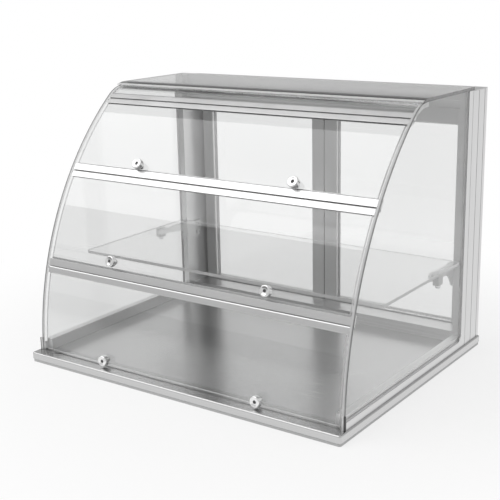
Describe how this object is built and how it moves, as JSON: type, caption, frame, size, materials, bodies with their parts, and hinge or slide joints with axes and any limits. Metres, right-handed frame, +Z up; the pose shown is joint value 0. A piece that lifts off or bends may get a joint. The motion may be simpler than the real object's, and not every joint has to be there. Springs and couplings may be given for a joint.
{
  "type": "countertop bread display bin",
  "caption": "Countertop bread display bin with a bowed front of curved clear flaps, clear end panels and shelf, and framed glass doors at the rear.",
  "frame": {"origin": "middle of the base's underside, on the counter", "axes": "+X across the front to the right as a person facing the front sees it, +Y from the flaps to the rear doors, +Z up"},
  "size_m": [0.61, 0.481, 0.452],
  "materials": {
    "base_steel": "fine brushed deck with a rolled rim",
    "base_underside": "dull grey moulded plinth",
    "satin_aluminium": "satin anodised extrusion",
    "bracket_aluminium": "satin anodised plate",
    "clear_acrylic": "clear acrylic sheet with polished edges",
    "door_glass": "clear glass",
    "gasket_rubber": "black glazing gasket",
    "dark_cap": "dark grey moulded cap",
    "clamp_plastic": "grey moulded block",
    "pad_rubber": "pale soft pad",
    "knob_chrome": "polished knob",
    "fixing_steel": "bright zinc-plated steel"
  },
  "bodies": {
    "cabinet": {"base_plinth": "base_underside", "base_tray": "base_steel", "bracket_screws": "fixing_steel", "channel_end_caps": "dark_cap", "clamp_screws": "fixing_steel", "front_top_rail": "satin_aluminium", "left_end_panel": "clear_acrylic", "left_rear_post": "satin_aluminium", "left_rear_trim": "satin_aluminium", "left_shelf_bracket": "bracket_aluminium", "left_side_channel": "satin_aluminium", "lower_hinge_rail": "satin_aluminium", "middle_hinge_rail": "satin_aluminium", "post_caps": "satin_aluminium", "rear_header": "satin_aluminium", "rear_sill": "satin_aluminium", "right_end_panel": "clear_acrylic", "right_rear_post": "satin_aluminium", "right_rear_trim": "satin_aluminium", "right_shelf_bracket": "bracket_aluminium", "right_side_channel": "satin_aluminium", "shelf": "clear_acrylic", "shelf_clamps": "clamp_plastic", "shelf_pads": "pad_rubber", "top_panel": "clear_acrylic"},
    "lower_flap": {"lower_flap_hinge_pins": "fixing_steel", "lower_flap_hinge_strip": "satin_aluminium", "lower_flap_knob_screws": "fixing_steel", "lower_flap_knobs": "knob_chrome", "lower_flap_pane": "clear_acrylic"},
    "middle_flap": {"middle_flap_hinge_pins": "fixing_steel", "middle_flap_hinge_strip": "satin_aluminium", "middle_flap_knob_screws": "fixing_steel", "middle_flap_knobs": "knob_chrome", "middle_flap_pane": "clear_acrylic"},
    "top_flap": {"top_flap_hinge_pins": "fixing_steel", "top_flap_hinge_strip": "satin_aluminium", "top_flap_knob_screws": "fixing_steel", "top_flap_knobs": "knob_chrome", "top_flap_pane": "clear_acrylic"},
    "left_door": {"left_door_bottom_rail": "satin_aluminium", "left_door_gasket": "gasket_rubber", "left_door_hinge_stile": "satin_aluminium", "left_door_meeting_stile": "satin_aluminium", "left_door_pane": "door_glass", "left_door_pivots": "fixing_steel", "left_door_top_rail": "satin_aluminium"},
    "right_door": {"right_door_bottom_rail": "satin_aluminium", "right_door_gasket": "gasket_rubber", "right_door_hinge_stile": "satin_aluminium", "right_door_meeting_stile": "satin_aluminium", "right_door_pane": "door_glass", "right_door_pivots": "fixing_steel", "right_door_top_rail": "satin_aluminium"}
  },
  "joints": [
    {"name": "lower_flap_hinge", "type": "hinge", "parent": "cabinet", "child": "lower_flap", "pos_m": [0, -0.19412, 0.15823], "axis": [-1, 0, 0], "range_deg": [0, 90]},
    {"name": "middle_flap_hinge", "type": "hinge", "parent": "cabinet", "child": "middle_flap", "pos_m": [0, -0.12315, 0.31116], "axis": [-1, 0, 0], "range_deg": [0, 90]},
    {"name": "top_flap_hinge", "type": "hinge", "parent": "cabinet", "child": "top_flap", "pos_m": [0, -0.02406, 0.42355], "axis": [-1, 0, 0], "range_deg": [0, 90]},
    {"name": "left_door_hinge", "type": "hinge", "parent": "cabinet", "child": "left_door", "pos_m": [-0.2732, 0.2295, 0.0165], "axis": [0, 0, 1], "range_deg": [0, 90]},
    {"name": "right_door_hinge", "type": "hinge", "parent": "cabinet", "child": "right_door", "pos_m": [0.2732, 0.2295, 0.0165], "axis": [0, 0, -1], "range_deg": [0, 90]}
  ]
}
